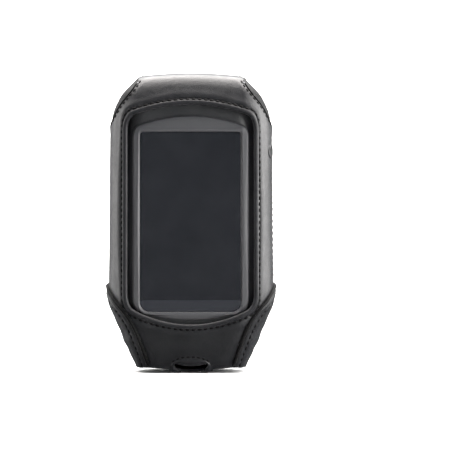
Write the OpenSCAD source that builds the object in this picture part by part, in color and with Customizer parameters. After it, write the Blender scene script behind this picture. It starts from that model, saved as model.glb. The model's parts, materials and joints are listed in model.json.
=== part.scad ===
// Handheld touchscreen satellite navigator in a stitched leather carrying case with a belt clip.
// It stands upright: +Z runs up its length, the screen faces -Y, and the origin is the middle of the base.

/* [Navigator] */
// Navigator width
unit_w = 74.8; // [64:0.1:90]
// Navigator height
unit_h = 144.2; // [136:0.1:174]
// Navigator depth
unit_d = 36.4; // [34:0.1:44]
// Thickness of the navigator housing wall
shell_t = 2; // [1.6:0.1:2.4]
// Width of the front glass
glass_w = 53.8; // [46:0.1:56]
// Height of the front glass
glass_h = 95.5; // [80:0.1:98]
// Width of the lit area of the display
display_w = 50.6; // [42:0.1:52]
// Height of the lit area of the display
display_h = 89.3; // [72:0.1:90]
// Thickness of the front glass
glass_t = 1.1; // [0.8:0.1:1.3]
// Width of the battery pack
battery_w = 50; // [42:0.5:50.5]
// Height of the battery pack
battery_h = 68; // [56:0.5:69]
// Radius of the power key
key_r = 4.5; // [3.6:0.1:5]
// Travel of the power key
key_travel = 0.5; // [0.3:0.1:0.6]

/* [Case] */
// Thickness of the leather
leather_t = 1.8; // [1.4:0.1:2.2]
// Thickness of the padded lining on the front and back
lining_t = 1.5; // [1.2:0.1:2]
// Width of the lining on each side of the navigator
side_pad = 5.1; // [4.2:0.1:6.5]
// Thickness of the lining under the navigator
base_pad = 5; // [4:0.1:6]
// Room between the top of the navigator and the top of the case body
top_room = 6.9; // [6.4:0.1:9]
// Half width of the front window
window_half = 33.9; // [31.8:0.1:35]
// Width of the top flap
flap_w = 60; // [50:0.5:64]
// Length of the flap down the back
flap_drop = 27; // [22:0.5:32]
// Thickness of the leather wings round the lower corners
wing_t = 1.2; // [0.9:0.1:1.6]
// Width of the piping on the wings
piping_w = 1.8; // [1.4:0.1:2.4]
// Width of the slot in the bottom
slot_w = 18; // [14:0.5:20]
// Height of the slot in the bottom
slot_h = 4.6; // [4.2:0.1:5.5]

/* [Belt clip] */
// Width of the clip plate
clip_w = 34; // [28:0.5:40]
// Length of the clip plate
clip_l = 62; // [54:0.5:70]
// Radius of the swivel neck
neck_r = 5; // [4:0.1:6]
// Gap for the belt
belt_gap = 6.5; // [5.5:0.1:8]
// Radius of the hinge pin
pin_r = 1.25; // [1:0.05:1.5]

/* [Hidden] */
$fn = 64;
eps = 0.01;
fit = 0.35;
running_fit = 0.05;
seat = 0.15;
big = 400;

// Navigator position and derived sizes
half_w = unit_w / 2;
half_d = unit_d / 2;
unit_r = 12;
unit_low = leather_t + base_pad;
unit_top = unit_low + unit_h;
split_y = -2;
front_y = -half_d;
trim_rise = 1;
glass_low = unit_low + 0.18 * unit_h;
glass_mid = glass_low + glass_h / 2;
glass_top = glass_low + glass_h;
gasket_t = 0.5;
ledge_y = front_y + 0.9;
glass_y = ledge_y - gasket_t - glass_t;
display_mid = glass_top - (display_h + 1.2) / 2;

// Case body
case_half = half_w + side_pad + leather_t;
case_d = half_d + fit + lining_t + seat + leather_t;
case_h = unit_top + top_room;
case_r = 15;
seam_y = 6;
window_low = glass_low - 6.7;
window_high = glass_top + 14.5;

// Display stack and board
module_t = 3.2;
module_y = front_y + shell_t + 0.45;
carrier_t = 1;
carrier_y = module_y + module_t + 0.1;
board_t = 1.2;
board_y = carrier_y + carrier_t + 3.6;
board_back = board_y + board_t;
board_low = unit_low + 0.07 * unit_h;
board_high = unit_low + 0.95 * unit_h;
boss_r = 3.1;
boss_x = half_w - shell_t - boss_r - 1.1;
board_half = boss_x - boss_r - 0.3;
boss_zs = [unit_low + 0.3 * unit_h, unit_low + 0.5 * unit_h, unit_low + 0.69 * unit_h];
screw_r = 1.1;

// Battery bay
bay_floor = 0;
bay_wall = 1.4;
battery_y = bay_floor + bay_wall + fit;
door_t = 2.8;
door_y = half_d - door_t;
battery_t = door_y - fit - battery_y;
battery_low = unit_low + 0.3 * unit_h;
battery_high = battery_low + battery_h;
bay_half = battery_w / 2 + fit;
bay_low = battery_low - 16;
bay_high = battery_high + fit;
latch_z = battery_low - 8.5;
latch_r = 6;

// Power key on the right side
key_z = unit_low + 0.775 * unit_h;
key_y = 3.5;
key_wall = half_w * 0.986;
key_out = key_wall + 0.9;
key_in = key_wall - shell_t - 1.9;
switch_face = key_in - key_travel - 0.1;
key_card_x = bay_half + bay_wall + 0.1;

// Flap
flap_t = leather_t;
flap_stand = 2;
flap_in = case_h + 0.3;
fold_y = -case_d * 0.5;
flap_low = case_h - flap_drop;
patch_w = 34;
patch_h = 14;

// Belt clip
swivel_z = case_h * 0.56;
collar_r = 13;
collar_t = flap_stand + flap_t + 0.9;
plate_t = 3;
plate_y = case_d + collar_t + 0.3;
plate_back = plate_y + plate_t;
head_r = neck_r + 3;
head_t = 1.6;
clip_up = 18;
clip_down = clip_l - clip_up;
pivot_z = swivel_z + 12;
pivot_y = plate_back + belt_gap - 0.6;
ear_x = clip_w / 2 - 3;
ear_t = 2.6;
jaw_t = 2.8;
jaw_y = plate_back + belt_gap;
jaw_w = clip_w - 2;
knuckle_r = pin_r + 2;
wire_r = 0.5;

// Heights, half widths, half depths and corner radii of the case body, as shares of its size
CASE_FORM = [
  [0, 0.50, 0.60, 0.8], [0.02, 0.665, 0.78, 0.9], [0.065, 0.75, 0.90, 1], [0.165, 0.90, 0.98, 1],
  [0.27, 0.998, 1, 1], [0.62, 0.988, 1, 1], [0.80, 0.98, 1, 1], [0.88, 0.935, 0.985, 0.9],
  [0.945, 0.83, 0.93, 0.75], [0.985, 0.73, 0.80, 0.6], [1, 0.675, 0.66, 0.5],
];

// The same shares for the navigator
UNIT_FORM = [
  [0, 0.62, 0.60, 0.8], [0.03, 0.76, 0.80, 1], [0.10, 0.89, 0.95, 1], [0.22, 0.97, 1, 1], [0.5, 1, 1, 1],
  [0.8, 0.985, 1, 1], [0.92, 0.93, 0.97, 1], [0.97, 0.85, 0.88, 1], [1, 0.72, 0.66, 0.8],
];

// A closed form through level rounded sections, taken in by a distance on every side
module form(sections, low, high, half, depth, corner, inset = 0) {
  hull() {
    for (s = sections) {
      z = max(low + inset, min(high - inset, low + s[0] * (high - low)));
      w = s[1] * half - inset;
      d = s[2] * depth - inset;
      r = max(1, min(s[3] * corner, s[2] * depth - 1) - inset);
      for (a = [-1, 1]) {
        for (b = [-1, 1]) {
          translate([a * (w - r), b * (d - r), z - eps])
            cylinder(r = r, h = 2 * eps, $fn = 32);
        }
      }
    }
  }
}

module case_form(inset = 0) {
  form(CASE_FORM, 0, case_h, case_half, case_d, case_r, inset);
}

module unit_form(inset = 0) {
  form(UNIT_FORM, unit_low, unit_top, half_w, half_d, unit_r, inset);
}

// An outline in X and Z made solid from one Y to another
module slab(y0, y1) {
  translate([0, y1, 0])
    rotate([90, 0, 0])
      linear_extrude(y1 - y0)
        children();
}

// A box from its lowest to its highest corner
module block(low, high) {
  translate(low)
    cube(high - low);
}

// A cylinder along Y
module pin_y(x, z, y0, y1, r) {
  translate([x, y1, z])
    rotate([90, 0, 0])
      cylinder(r = r, h = y1 - y0);
}

// A cylinder along X
module pin_x(y, z, x0, x1, r) {
  translate([x0, y, z])
    rotate([0, 90, 0])
      cylinder(r = r, h = x1 - x0);
}

module rounded(w, low, high, r) {
  translate([-w / 2 + r, low])
    square([w - 2 * r, high - low]);
  translate([-w / 2, low + r])
    square([w, high - low - 2 * r]);
  for (x = [-w / 2 + r, w / 2 - r]) {
    for (z = [low + r, high - r]) {
      translate([x, z])
        circle(r);
    }
  }
}

// An upright outline with an arched top and bottom
module arched(half, low, high, sag_low, sag_high, r) {
  reach = half - 3;
  high_r = (reach * reach + sag_high * sag_high) / (2 * sag_high);
  low_r = (reach * reach + sag_low * sag_low) / (2 * sag_low);
  hull() {
    for (a = [-1, 1]) {
      translate([a * (half - r), high - sag_high - r])
        circle(r);
      translate([a * (half - r), low + sag_low + r])
        circle(r);
    }
    intersection() {
      translate([0, high - high_r])
        circle(high_r, $fn = 160);
      translate([0, low + low_r])
        circle(low_r, $fn = 160);
      translate([-reach * 0.8, low])
        square([reach * 1.6, high - low]);
    }
  }
}

module window(grow = 0) {
  arched(window_half + grow, window_low - grow, window_high + grow, 8, 6, 7);
}

// The outline between the two seams that narrow towards the top
module between_seams(grow = 0) {
  polygon([
    [-big, -1], [big, -1], [big, case_h * 0.845], [case_half * 0.955 + grow, case_h * 0.845],
    [case_half * 0.84 + grow, case_h * 0.917], [flap_w / 2 - 2 + grow, case_h * 0.995],
    [flap_w / 2 - 2 + grow, case_h + 5], [-flap_w / 2 + 2 - grow, case_h + 5],
    [-flap_w / 2 + 2 - grow, case_h * 0.995], [-case_half * 0.84 - grow, case_h * 0.917],
    [-case_half * 0.955 - grow, case_h * 0.845], [-big, case_h * 0.845],
  ]);
}

// Points of the inner edge of the right wing, from its upper end to the bottom
WING_EDGE = [
  [case_half + 3, case_h * 0.305], [case_half * 0.97, case_h * 0.265], [case_half * 0.907, case_h * 0.237],
  [case_half * 0.82, case_h * 0.212], [case_half * 0.765, case_h * 0.188],
  [case_half * 0.705, case_h * 0.162], [case_half * 0.66, case_h * 0.133],
  [case_half * 0.612, case_h * 0.1], [case_half * 0.57, case_h * 0.07],
  [case_half * 0.532, case_h * 0.038], [case_half * 0.49, -2],
];

// The same edge moved towards the window
function wing_edge(shift) = [for (p = WING_EDGE) [p[0] - 0.88 * shift, p[1] + 0.48 * shift]];

// A right-hand outline, or its mirror image for the left
module handed(side) {
  if (side > 0) {
    children();
  } else {
    mirror([1, 0])
      children();
  }
}

module wing_outline() {
  polygon(concat(WING_EDGE, [[case_half + 20, -2], [case_half + 20, case_h * 0.305]]));
}

module piping_outline() {
  inner = wing_edge(piping_w);
  last = len(inner) - 1;
  polygon(concat(WING_EDGE, [for (i = [last:-1:0]) inner[i]]));
}

module slot_outline(grow = 0) {
  half = slot_w / 2 + grow;
  high = slot_h + grow;
  arc_r = (half * half + high * high) / (2 * high);
  intersection() {
    translate([0, high - arc_r])
      circle(arc_r);
    translate([-half - 5, -0.5 - grow])
      square([2 * half + 10, high + grow + 1]);
  }
}

module leather_shell() {
  difference() {
    case_form();
    case_form(leather_t);
  }
}

module base_zone() {
  block([-case_half * 0.47, -case_d * 0.56, -1], [case_half * 0.47, case_d * 0.56, leather_t + 1]);
}

module mouth_zone() {
  block([-flap_w / 2 + 4, -case_d * 0.56, case_h - leather_t - 1],
    [flap_w / 2 - 4, case_d * 0.56, case_h + 1]);
}

module front_panel() {
  color([0.16, 0.16, 0.17])
    difference() {
      intersection() {
        leather_shell();
        slab(-big, seam_y)
          between_seams();
      }
      slab(-big, 0)
        window();
      slab(-big, 0)
        slot_outline();
      base_zone();
      mouth_zone();
    }
}

module back_panel() {
  color([0.15, 0.15, 0.16])
    difference() {
      intersection() {
        leather_shell();
        slab(seam_y, big)
          between_seams();
      }
      pin_y(0, swivel_z, 0, big, neck_r);
      base_zone();
      mouth_zone();
    }
}

module shoulder(side) {
  color([0.17, 0.17, 0.18])
    difference() {
      intersection() {
        leather_shell();
        block([side > 0 ? 0 : -big, -big, case_h * 0.7], [side > 0 ? big : 0, big, case_h + 1]);
      }
      slab(-big, big)
        between_seams();
      mouth_zone();
    }
}

module wing(side) {
  color([0.17, 0.17, 0.18])
    difference() {
      intersection() {
        case_form(-wing_t);
        union() {
          slab(-big, 0)
            handed(side)
              wing_outline();
          slab(0, big)
            handed(side)
              translate([0.15, 2])
                square([big, case_h * 0.305 - 2]);
        }
        block([-big, -big, 2], [big, big, big]);
      }
      case_form();
    }
}

module piping(side) {
  color([0.06, 0.06, 0.06])
    difference() {
      intersection() {
        case_form(-wing_t - 0.6);
        slab(-big, -case_d * 0.3)
          handed(side)
            piping_outline();
        block([-big, -big, 1.5], [big, big, big]);
      }
      case_form();
    }
}

module base_leather() {
  color([0.14, 0.14, 0.15])
    difference() {
      intersection() {
        leather_shell();
        base_zone();
      }
      slab(-big, -case_d * 0.3)
        slot_outline();
    }
}

module slot_hem() {
  color([0.08, 0.08, 0.08])
    difference() {
      intersection() {
        case_form(-0.8);
        slab(-big, -case_d * 0.4)
          slot_outline(3);
        block([-big, -big, 0.8], [big, big, big]);
      }
      case_form();
      slab(-big, 0)
        slot_outline();
    }
}

module window_binding() {
  color([0.2, 0.2, 0.21])
    difference() {
      intersection() {
        case_form(-0.5);
        slab(-big, -case_d * 0.4)
          window(1.8);
      }
      case_form();
      slab(-big, 0)
        window();
    }
}

module case_lining() {
  color([0.1, 0.1, 0.11])
    difference() {
      case_form(leather_t + seat);
      unit_form(-fit);
      block([-flap_w / 2 + 4, -case_d * 0.5, unit_top - 6], [flap_w / 2 - 4, case_d * 0.5, case_h]);
      slab(-big, 0)
        window(1);
      slab(-big, -case_d * 0.3)
        slot_outline();
      pin_y(0, swivel_z, half_d + fit - 0.1, big, collar_r + 0.5);
      translate([0, key_y, key_z])
        rotate([0, 90, 0])
          cylinder(r = key_r + 1, h = half_w + 3);
    }
}

module top_flap() {
  bend = 11;
  color([0.18, 0.18, 0.19])
    difference() {
      union() {
        translate([flap_w / 2, 0, 0])
          rotate([0, -90, 0])
            linear_extrude(flap_w)
              flap_profile(bend);
        pin_x(fold_y, flap_in + flap_t / 2, -flap_w / 2, flap_w / 2, flap_t / 2);
      }
      slab(case_d, big)
        flap_corner_cut();
    }
}

// The flap seen from the side, with its height along X and its depth along Y
module flap_profile(bend) {
  back = case_d + flap_stand;
  translate([flap_in, fold_y])
    square([flap_t, back + flap_t - bend - fold_y]);
  translate([flap_low, back])
    square([flap_in + flap_t - bend - flap_low, flap_t]);
  translate([flap_in + flap_t - bend, back + flap_t - bend])
    intersection() {
      difference() {
        circle(bend);
        circle(bend - flap_t);
      }
      square([bend + 1, bend + 1]);
    }
}

module flap_corner_cut() {
  for (a = [-1, 1]) {
    difference() {
      translate([a * (flap_w / 2 - 4) - 4.5, flap_low - 0.5])
        square([9, 8.5]);
      translate([a * (flap_w / 2 - 8), flap_low + 8])
        circle(8);
    }
  }
}

module hook_patch() {
  color([0.05, 0.05, 0.05])
    slab(case_d + flap_stand / 2 + 0.1, case_d + flap_stand)
      rounded(patch_w, flap_low + 4, flap_low + 4 + patch_h, 2);
}

module loop_patch() {
  color([0.07, 0.07, 0.07])
    slab(case_d, case_d + flap_stand / 2 - 0.1)
      rounded(patch_w, flap_low + 4, flap_low + 4 + patch_h, 2);
}

module clip_backing() {
  color([0.6, 0.6, 0.6])
    difference() {
      pin_y(0, swivel_z, case_d - leather_t - 1, case_d - leather_t, collar_r);
      pin_y(0, swivel_z, 0, big, neck_r * 0.6 + running_fit);
    }
}

module swivel_stud() {
  color([0.1, 0.1, 0.1])
    union() {
      pin_y(0, swivel_z, case_d, case_d + collar_t, collar_r);
      pin_y(0, swivel_z, case_d - leather_t, plate_back + running_fit * 2, neck_r);
      pin_y(0, swivel_z, case_d - leather_t - 1, case_d, neck_r * 0.6);
      pin_y(0, swivel_z, plate_back + running_fit * 2, plate_back + head_t, head_r);
    }
}

module clip_plate() {
  color([0.09, 0.09, 0.09])
    difference() {
      union() {
        slab(plate_y, plate_back)
          rounded(clip_w, swivel_z - clip_down, swivel_z + clip_up, 5);
        for (a = [-1, 1]) {
          pin_x(pivot_y, pivot_z, a * ear_x - ear_t / 2, a * ear_x + ear_t / 2, knuckle_r + 0.4);
          block([a * ear_x - ear_t / 2, plate_back - 1, pivot_z - knuckle_r - 0.4],
            [a * ear_x + ear_t / 2, pivot_y, pivot_z + knuckle_r + 0.4]);
        }
        slab(plate_back - 0.5, plate_back + 1.2)
          rounded(clip_w - 8, swivel_z - clip_down + 4, swivel_z - clip_down + 7, 1.4);
      }
      pin_y(0, swivel_z, 0, big, neck_r + running_fit);
      pin_x(pivot_y, pivot_z, -big, big, pin_r);
    }
}

module clip_jaw() {
  inner_x = ear_x - ear_t / 2 - 0.3;
  color([0.11, 0.11, 0.11])
    difference() {
      union() {
        slab(jaw_y, jaw_y + jaw_t)
          rounded(jaw_w - 6, swivel_z - clip_down + 1, pivot_z - knuckle_r, 5);
        block([-inner_x, jaw_y, pivot_z - 6], [inner_x, jaw_y + jaw_t, pivot_z]);
        slab(jaw_y + 0.6, jaw_y + jaw_t)
          rounded(2 * inner_x, pivot_z - 8, swivel_z + clip_up + 8, 5);
        for (a = [-1, 1]) {
          pin_x(pivot_y, pivot_z, a > 0 ? 5.5 : -inner_x, a > 0 ? inner_x : -5.5, knuckle_r);
        }
        block([-jaw_w / 2 + 5, plate_back + 1.6, swivel_z - clip_down + 1.5],
          [jaw_w / 2 - 5, jaw_y + 1, swivel_z - clip_down + 4]);
      }
      pin_x(pivot_y, pivot_z, -big, big, pin_r + running_fit);
      pin_x(pivot_y, pivot_z, -5.5, 5.5, knuckle_r + 0.6);
    }
}

module hinge_pin() {
  color([0.7, 0.7, 0.7])
    pin_x(pivot_y, pivot_z, -ear_x - ear_t / 2, ear_x + ear_t / 2, pin_r);
}

module clip_spring() {
  coil_r = pin_r + running_fit + 0.4;
  color([0.75, 0.75, 0.75])
    union() {
      difference() {
        pin_x(pivot_y, pivot_z, -2.6, 2.6, coil_r + 2 * wire_r);
        pin_x(pivot_y, pivot_z, -3, 3, coil_r);
        for (x = [-1.5, -0.5, 0.5, 1.5]) {
          difference() {
            pin_x(pivot_y, pivot_z, x - 0.15, x + 0.15, coil_r + 3);
            pin_x(pivot_y, pivot_z, x - 0.2, x + 0.2, coil_r + wire_r);
          }
        }
      }
      block([-2.5, plate_back, pivot_z - coil_r - 2 * wire_r],
        [-1.6, pivot_y, pivot_z - coil_r - wire_r * 0.6]);
      block([1.6, pivot_y, pivot_z - coil_r - 2 * wire_r],
        [2.5, pivot_y + 2.2, pivot_z - coil_r - wire_r * 0.6]);
    }
}

module trim_outline(grow = 0) {
  arched(window_half - 2.9 + grow, window_low + 2.2 - grow, window_high - 5.6 + grow, 4.5, 5, 6);
}

module glass_outline(grow = 0) {
  union() {
    rounded(glass_w + 2 * grow, glass_low + 6 - grow, glass_top + grow, 1.6);
    rounded(glass_w + 2 * grow, glass_low - grow, glass_top - 6, 5);
  }
}

module boss_ring(r, y0, y1) {
  for (a = [-1, 1]) {
    for (z = boss_zs) {
      pin_y(a * boss_x, z, y0, y1, r);
    }
  }
}

module front_housing() {
  color([0.16, 0.17, 0.18])
    difference() {
      union() {
        intersection() {
          difference() {
            unit_form();
            unit_form(shell_t);
          }
          block([-big, -big, 0], [big, split_y, big]);
        }
        intersection() {
          unit_form(shell_t - eps);
          boss_ring(boss_r, front_y, split_y);
        }
      }
      slab(-big, ledge_y)
        trim_outline(0.1);
      slab(-big, 0)
        rounded(display_w + 1, display_mid - display_h / 2 - 0.5, display_mid + display_h / 2 + 0.5, 1);
      boss_ring(screw_r, -half_d + 6, 0);
      port_hole();
    }
}

module bezel_trim() {
  color([0.36, 0.37, 0.38])
    difference() {
      slab(front_y - trim_rise, ledge_y)
        trim_outline();
      slab(-big, 0)
        glass_outline(0.15);
    }
}

module front_glass() {
  color([0.1, 0.11, 0.12])
    slab(glass_y, glass_y + glass_t)
      glass_outline();
}

module glass_seal() {
  color([0.05, 0.05, 0.05])
    difference() {
      slab(glass_y + glass_t, ledge_y)
        glass_outline(-0.2);
      slab(-big, 0)
        rounded(display_w + 1, display_mid - display_h / 2 - 0.5, display_mid + display_h / 2 + 0.5, 1);
    }
}

module display_module() {
  color([0.08, 0.09, 0.1])
    slab(module_y, module_y + module_t)
      rounded(display_w + 3, display_mid - display_h / 2 - 1.6, display_mid + display_h / 2 + 1.6, 1);
}

module display_carrier() {
  color([0.65, 0.66, 0.68])
    difference() {
      union() {
        slab(carrier_y, carrier_y + carrier_t)
          rounded(2 * board_half, board_low + 14, glass_top + 1, 2);
        for (a = [-1, 1]) {
          for (z = [board_low + 18, glass_top - 4]) {
            pin_y(a * (board_half - 4), z, carrier_y, board_y, 2);
          }
        }
      }
      slab(carrier_y - 1, carrier_y + carrier_t + 1)
        rounded(display_w - 20, glass_low + 18, glass_top - 22, 4);
    }
}

module main_board() {
  color([0.05, 0.3, 0.16])
    slab(board_y, board_back) {
      rounded(2 * board_half - 6, board_low, board_high, 3);
      rounded(2 * board_half, board_low + 14, board_high - 12, 3);
    }
}

module shield_cans() {
  color([0.75, 0.76, 0.78]) {
    slab(board_back, board_back + 2)
      translate([-11, 0])
        rounded(26, battery_low + 6, battery_low + 34, 1);
    slab(board_back, board_back + 1.8)
      translate([13, 0])
        rounded(17, battery_low + 12, battery_low + 33, 1);
  }
}

module antenna_patch() {
  color([0.82, 0.78, 0.7])
    union() {
      slab(board_back, board_back + 4)
        rounded(25, board_high - 27, board_high - 2, 1);
      pin_y(3, board_high - 14, board_back, board_back + 4.3, 1.2);
    }
}

module port_hole() {
  block([-4.4, board_back - 0.3, unit_low - 3], [4.4, board_back + 3.3, unit_low + 8]);
}

module port_socket() {
  color([0.78, 0.78, 0.8])
    difference() {
      block([-3.9, board_back, unit_low + 5.4], [3.9, board_back + 2.8, board_low + 4]);
      block([-3.4, board_back + 0.5, unit_low + 5], [3.4, board_back + 2.3, unit_low + 10]);
    }
}

module port_cap() {
  color([0.07, 0.07, 0.07])
    union() {
      block([-4.3, board_back - 0.2, unit_low + 0.2], [4.3, board_back + 3.2, unit_low + 2.6]);
      block([-3.2, board_back + 0.6, unit_low + 2.5], [3.2, board_back + 2.2, unit_low + 7]);
    }
}

module card_holder() {
  color([0.78, 0.78, 0.8])
    difference() {
      block([-22, board_back, board_low + 17], [-8, board_back + 1.9, board_low + 32]);
      block([-21.1, board_back + 0.5, board_low + 18], [-8.9, board_back + 1.5, board_low + 40]);
    }
}

module memory_card() {
  color([0.08, 0.08, 0.08])
    block([-20.5, board_back + 0.6, board_low + 18.2], [-9.5, board_back + 1.4, board_low + 33]);
}

module beeper() {
  color([0.1, 0.1, 0.1])
    difference() {
      pin_y(14, board_low + 24, board_back, board_back + 3, 6);
      pin_y(14, board_low + 24, board_back + 2, board_back + 4, 1.2);
    }
}

module battery_contacts() {
  color([0.75, 0.62, 0.3])
    union() {
      slab(board_back, bay_floor - 0.1)
        rounded(16, battery_high - 10, battery_high - 4, 1);
      for (x = [-5, 0, 5]) {
        pin_y(x, battery_high - 7, board_back, battery_y, 0.8);
      }
    }
}

module housing_seal() {
  color([0.3, 0.3, 0.3])
    intersection() {
      difference() {
        unit_form(0.6);
        unit_form(1.6);
      }
      difference() {
        block([-big, split_y, 0], [big, split_y + 0.5, big]);
        port_hole();
      }
    }
}

module rear_housing() {
  rear_y = split_y + 0.5;
  color([0.13, 0.14, 0.15])
    difference() {
      union() {
        intersection() {
          difference() {
            unit_form();
            unit_form(shell_t);
          }
          block([-big, rear_y, 0], [big, big, big]);
        }
        intersection() {
          unit_form(1);
          block([-bay_half - bay_wall, bay_floor, bay_low - bay_wall],
            [bay_half + bay_wall, big, bay_high + bay_wall]);
        }
        intersection() {
          unit_form(shell_t - eps);
          boss_ring(boss_r, rear_y, half_d - 6);
        }
      }
      block([-bay_half, bay_floor + bay_wall, battery_low - fit], [bay_half, big, bay_high]);
      pin_y(0, latch_z, bay_floor + bay_wall, big, latch_r + 0.6);
      slab(door_y, big)
        door_outline(0.2);
      boss_ring(screw_r + 0.1, -big, big);
      boss_ring(screw_r + 1.3, half_d - 9, big);
      for (x = [-5, 0, 5]) {
        pin_y(x, battery_high - 7, bay_floor - 1, battery_y, 1);
      }
      pin_x(key_y, key_z, key_in - 1, big, key_r + 0.1);
      pin_x(key_y, key_z, key_in - 1, key_wall - shell_t + 0.1, key_r + 1.4);
      port_hole();
    }
}

module door_outline(grow = 0) {
  rounded(battery_w - 4 + 2 * grow, bay_low - grow, bay_high + bay_wall - 2 + grow, 5);
}

module battery_pack() {
  color([0.2, 0.21, 0.24])
    difference() {
      block([-battery_w / 2, battery_y, battery_low], [battery_w / 2, battery_y + battery_t, battery_high]);
      for (a = [-1, 1]) {
        block([a * battery_w / 2 - 1, battery_y - 1, battery_low - 1],
          [a * battery_w / 2 + 1, battery_y + 2, battery_low + 12]);
      }
    }
}

module battery_door() {
  color([0.15, 0.16, 0.17])
    difference() {
      slab(door_y, half_d)
        door_outline();
      pin_y(0, latch_z, 0, big, 2.6);
      pin_y(0, latch_z, half_d - 1.7, big, latch_r + 0.3);
    }
}

module door_latch() {
  color([0.55, 0.56, 0.58])
    union() {
      pin_y(0, latch_z, door_y - 4, half_d - 1, 2.5);
      pin_y(0, latch_z, half_d - 1.6, half_d - 0.9, latch_r);
      block([-5, door_y - 2.6, latch_z - 1.6], [5, door_y - 0.3, latch_z + 1.6]);
    }
}

module latch_ring() {
  color([0.7, 0.7, 0.72])
    translate([0, half_d - 0.45, latch_z])
      rotate([90, 0, 0])
        rotate_extrude()
          translate([latch_r - 0.8, 0])
            circle(0.42, $fn = 24);
}

module housing_screws() {
  color([0.7, 0.7, 0.72])
    for (a = [-1, 1]) {
      for (z = boss_zs) {
        pin_y(a * boss_x, z, -half_d + 7, half_d - 9, screw_r);
        pin_y(a * boss_x, z, half_d - 9, half_d - 7.4, screw_r + 1.1);
      }
    }
}

module power_key() {
  color([0.12, 0.12, 0.13])
    union() {
      pin_x(key_y, key_z, key_in + 0.7, key_out, key_r);
      pin_x(key_y, key_z, key_in, key_in + 0.8, key_r + 1);
    }
}

module key_switch() {
  color([0.6, 0.6, 0.6])
    union() {
      block([key_card_x + 1, key_y - 3, key_z - 3], [switch_face - 0.7, key_y + 3, key_z + 3]);
      pin_x(key_y, key_z, switch_face - 0.8, switch_face, 1.5);
    }
}

module key_card() {
  color([0.05, 0.3, 0.16])
    block([key_card_x, key_y - 5, key_z - 7], [key_card_x + 1, key_y + 5, key_z + 5]);
}

front_panel();  // front_leather_panel
back_panel();  // back_leather_panel
shoulder(-1);  // left_shoulder_leather
shoulder(1);  // right_shoulder_leather
wing(-1);  // left_lower_wing
wing(1);  // right_lower_wing
piping(-1);  // left_wing_piping
piping(1);  // right_wing_piping
base_leather();
slot_hem();
window_binding();
case_lining();
top_flap();
hook_patch();  // flap_hook_patch
loop_patch();  // back_loop_patch
clip_backing();  // clip_backing_plate
swivel_stud();  // clip_swivel_stud
clip_plate();
clip_jaw();
hinge_pin();  // clip_hinge_pin
clip_spring();
front_housing();
bezel_trim();
front_glass();
glass_seal();
display_module();
display_carrier();
main_board();
shield_cans();
antenna_patch();
port_socket();
port_cap();
card_holder();
memory_card();
beeper();
battery_contacts();
housing_seal();
rear_housing();
battery_pack();
battery_door();
door_latch();
latch_ring();
housing_screws();
power_key();
key_switch();
key_card();
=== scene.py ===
"""Handheld satellite navigator in a stitched leather case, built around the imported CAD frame."""
import json
import random
from math import cos, pi, sin

import bpy
import numpy as np
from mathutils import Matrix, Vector, noise


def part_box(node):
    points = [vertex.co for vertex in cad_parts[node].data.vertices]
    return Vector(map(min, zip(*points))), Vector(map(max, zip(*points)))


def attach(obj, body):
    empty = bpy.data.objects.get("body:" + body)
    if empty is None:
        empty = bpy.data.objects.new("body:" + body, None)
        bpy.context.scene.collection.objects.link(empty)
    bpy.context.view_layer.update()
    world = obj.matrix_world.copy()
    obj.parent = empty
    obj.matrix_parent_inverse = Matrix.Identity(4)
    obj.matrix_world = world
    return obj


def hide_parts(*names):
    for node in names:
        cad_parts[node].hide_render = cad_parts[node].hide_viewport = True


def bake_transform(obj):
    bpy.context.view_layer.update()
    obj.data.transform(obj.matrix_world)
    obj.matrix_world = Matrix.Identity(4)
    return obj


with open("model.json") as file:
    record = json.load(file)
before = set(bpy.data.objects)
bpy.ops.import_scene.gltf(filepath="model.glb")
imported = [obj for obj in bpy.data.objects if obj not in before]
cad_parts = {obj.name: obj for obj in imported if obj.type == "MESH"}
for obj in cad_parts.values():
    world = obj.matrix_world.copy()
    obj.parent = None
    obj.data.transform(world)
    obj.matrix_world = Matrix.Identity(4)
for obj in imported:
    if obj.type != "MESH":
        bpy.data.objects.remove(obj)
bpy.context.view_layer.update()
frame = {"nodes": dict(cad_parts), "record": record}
MM = 0.001
SIDES = ((1, "right"), (-1, "left"))
rng = random.Random(7)


def box_mm(node):
    lo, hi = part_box(node)
    return np.array(lo) / MM, np.array(hi) / MM


# ---- sizes in millimetres, read from the frame
FRONT_LO, FRONT_HI = box_mm("front_leather_panel")
FLAP_LO, FLAP_HI = box_mm("top_flap")
GLASS_LO, GLASS_HI = box_mm("front_glass")
TRIM_LO, TRIM_HI = box_mm("bezel_trim")
BIND_LO, BIND_HI = box_mm("window_binding")
UNIT_LO, UNIT_HI = box_mm("rear_housing")
HEM_LO, HEM_HI = box_mm("slot_hem")
KEY_LO, KEY_HI = box_mm("power_key")
CASE_H = box_mm("back_leather_panel")[1][2]
HALF_W = FRONT_HI[0]
HALF_D = -FRONT_LO[1]
SEAM_Y = FRONT_HI[1]
TOP_Z = FLAP_HI[2]
HINGE = [j for j in frame["record"]["behaviour"]["joints"] if j["name"] == "flap_hinge"][0]["pos_m"]
HINGE_Y, HINGE_Z = HINGE[1] / MM, HINGE[2] / MM

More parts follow.
